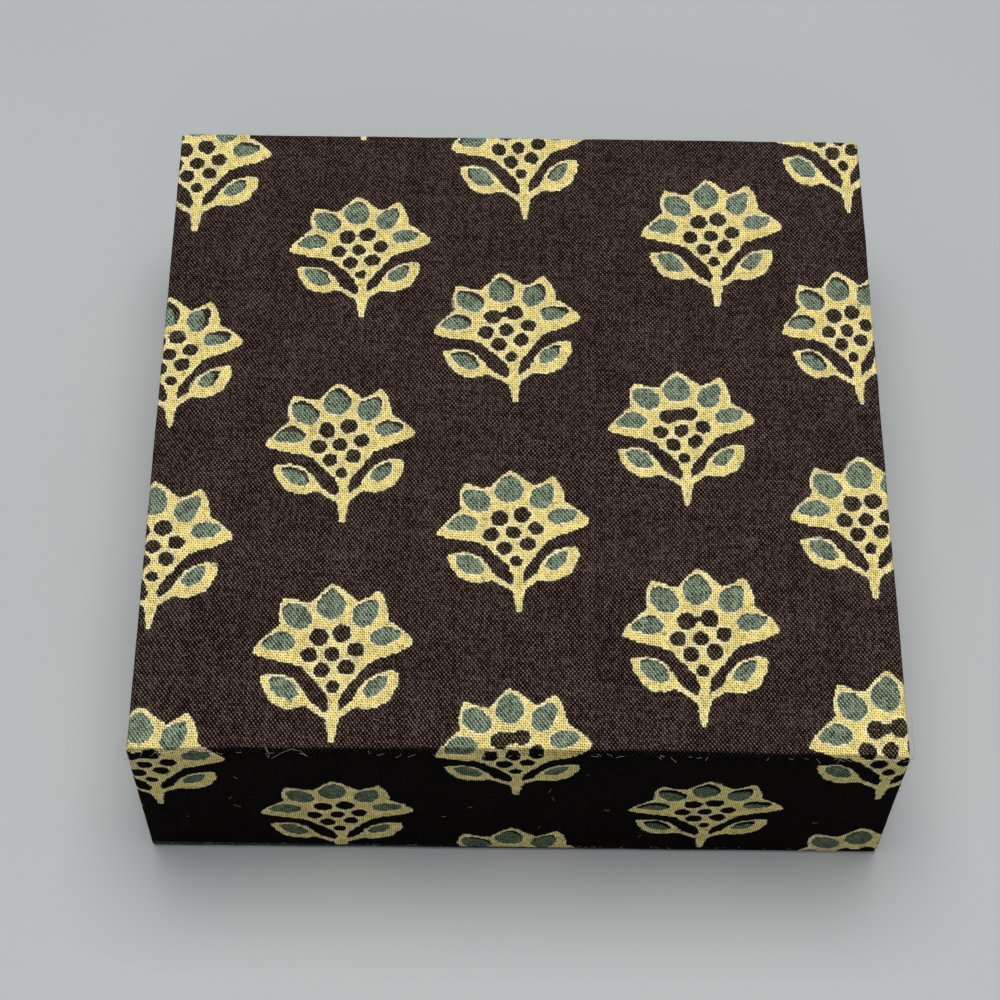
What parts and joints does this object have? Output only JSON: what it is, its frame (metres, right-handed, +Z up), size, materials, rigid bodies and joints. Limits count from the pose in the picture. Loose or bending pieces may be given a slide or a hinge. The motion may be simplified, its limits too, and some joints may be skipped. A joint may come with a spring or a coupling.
{
  "type": "jewelry presentation box",
  "caption": "Square cloth-covered presentation box for jewelry: a full-depth lift-off lid with a padded lining over a tray that holds a lift-out velvet pad.",
  "frame": {"origin": "middle of the foot sheet's underside, on the surface the box stands on", "axes": "+Z up through the lid, -Y towards the front, +X to the right seen from the front"},
  "size_m": [0.1016, 0.1016, 0.0318],
  "materials": {
    "printed_cotton": "matte",
    "plain_cotton": "matte",
    "greyboard": "matte",
    "gummed_tape": "satin",
    "lining_paper": "matte",
    "foot_paper": "matte",
    "pad_card": "matte",
    "foam": "matte",
    "velvet": "matte",
    "satin": "satin",
    "ribbon": "satin"
  },
  "bodies": {
    "tray": {"foot_sheet": "foot_paper", "base_cover": "plain_cotton", "base_floor_board": "greyboard", "base_front_wall": "greyboard", "base_back_wall": "greyboard", "base_left_wall": "greyboard", "base_right_wall": "greyboard", "base_stay_front_left": "gummed_tape", "base_stay_front_right": "gummed_tape", "base_stay_back_left": "gummed_tape", "base_stay_back_right": "gummed_tape", "base_wall_lining": "lining_paper", "base_floor_lining": "lining_paper", "riser_front": "greyboard", "riser_back": "greyboard", "riser_left": "greyboard", "riser_right": "greyboard"},
    "lid": {"lid_cover": "printed_cotton", "lid_top_board": "greyboard", "lid_front_wall": "greyboard", "lid_back_wall": "greyboard", "lid_left_wall": "greyboard", "lid_right_wall": "greyboard", "lid_stay_front_left": "gummed_tape", "lid_stay_front_right": "gummed_tape", "lid_stay_back_left": "gummed_tape", "lid_stay_back_right": "gummed_tape", "lid_wall_lining": "lining_paper", "lid_ceiling_lining": "lining_paper", "lid_pad_card": "pad_card", "lid_pad_foam": "foam", "lid_pad_cover": "satin"},
    "insert": {"insert_card": "pad_card", "insert_foam": "foam", "insert_cover": "velvet", "ribbon_tail": "ribbon"},
    "pull_tab": {"pull_tab": "ribbon"}
  },
  "joints": [
    {"name": "lid_lift", "type": "slide", "parent": "tray", "child": "lid", "axis": [0, 0, 1], "range_m": [0, 0.06]},
    {"name": "insert_lift", "type": "slide", "parent": "tray", "child": "insert", "axis": [0, 0, 1], "range_m": [0, 0.027]},
    {"name": "tab_fold", "type": "hinge", "parent": "insert", "child": "pull_tab", "pos_m": [0, -0.0421, 0.0133], "axis": [1, 0, 0], "range_deg": [0, 75]}
  ],
  "couplings": [
    {"joint": "insert_lift", "follows": "lid_lift", "ratio": 0.45},
    {"joint": "tab_fold", "follows": "lid_lift", "rad_per_m": 21.8}
  ]
}
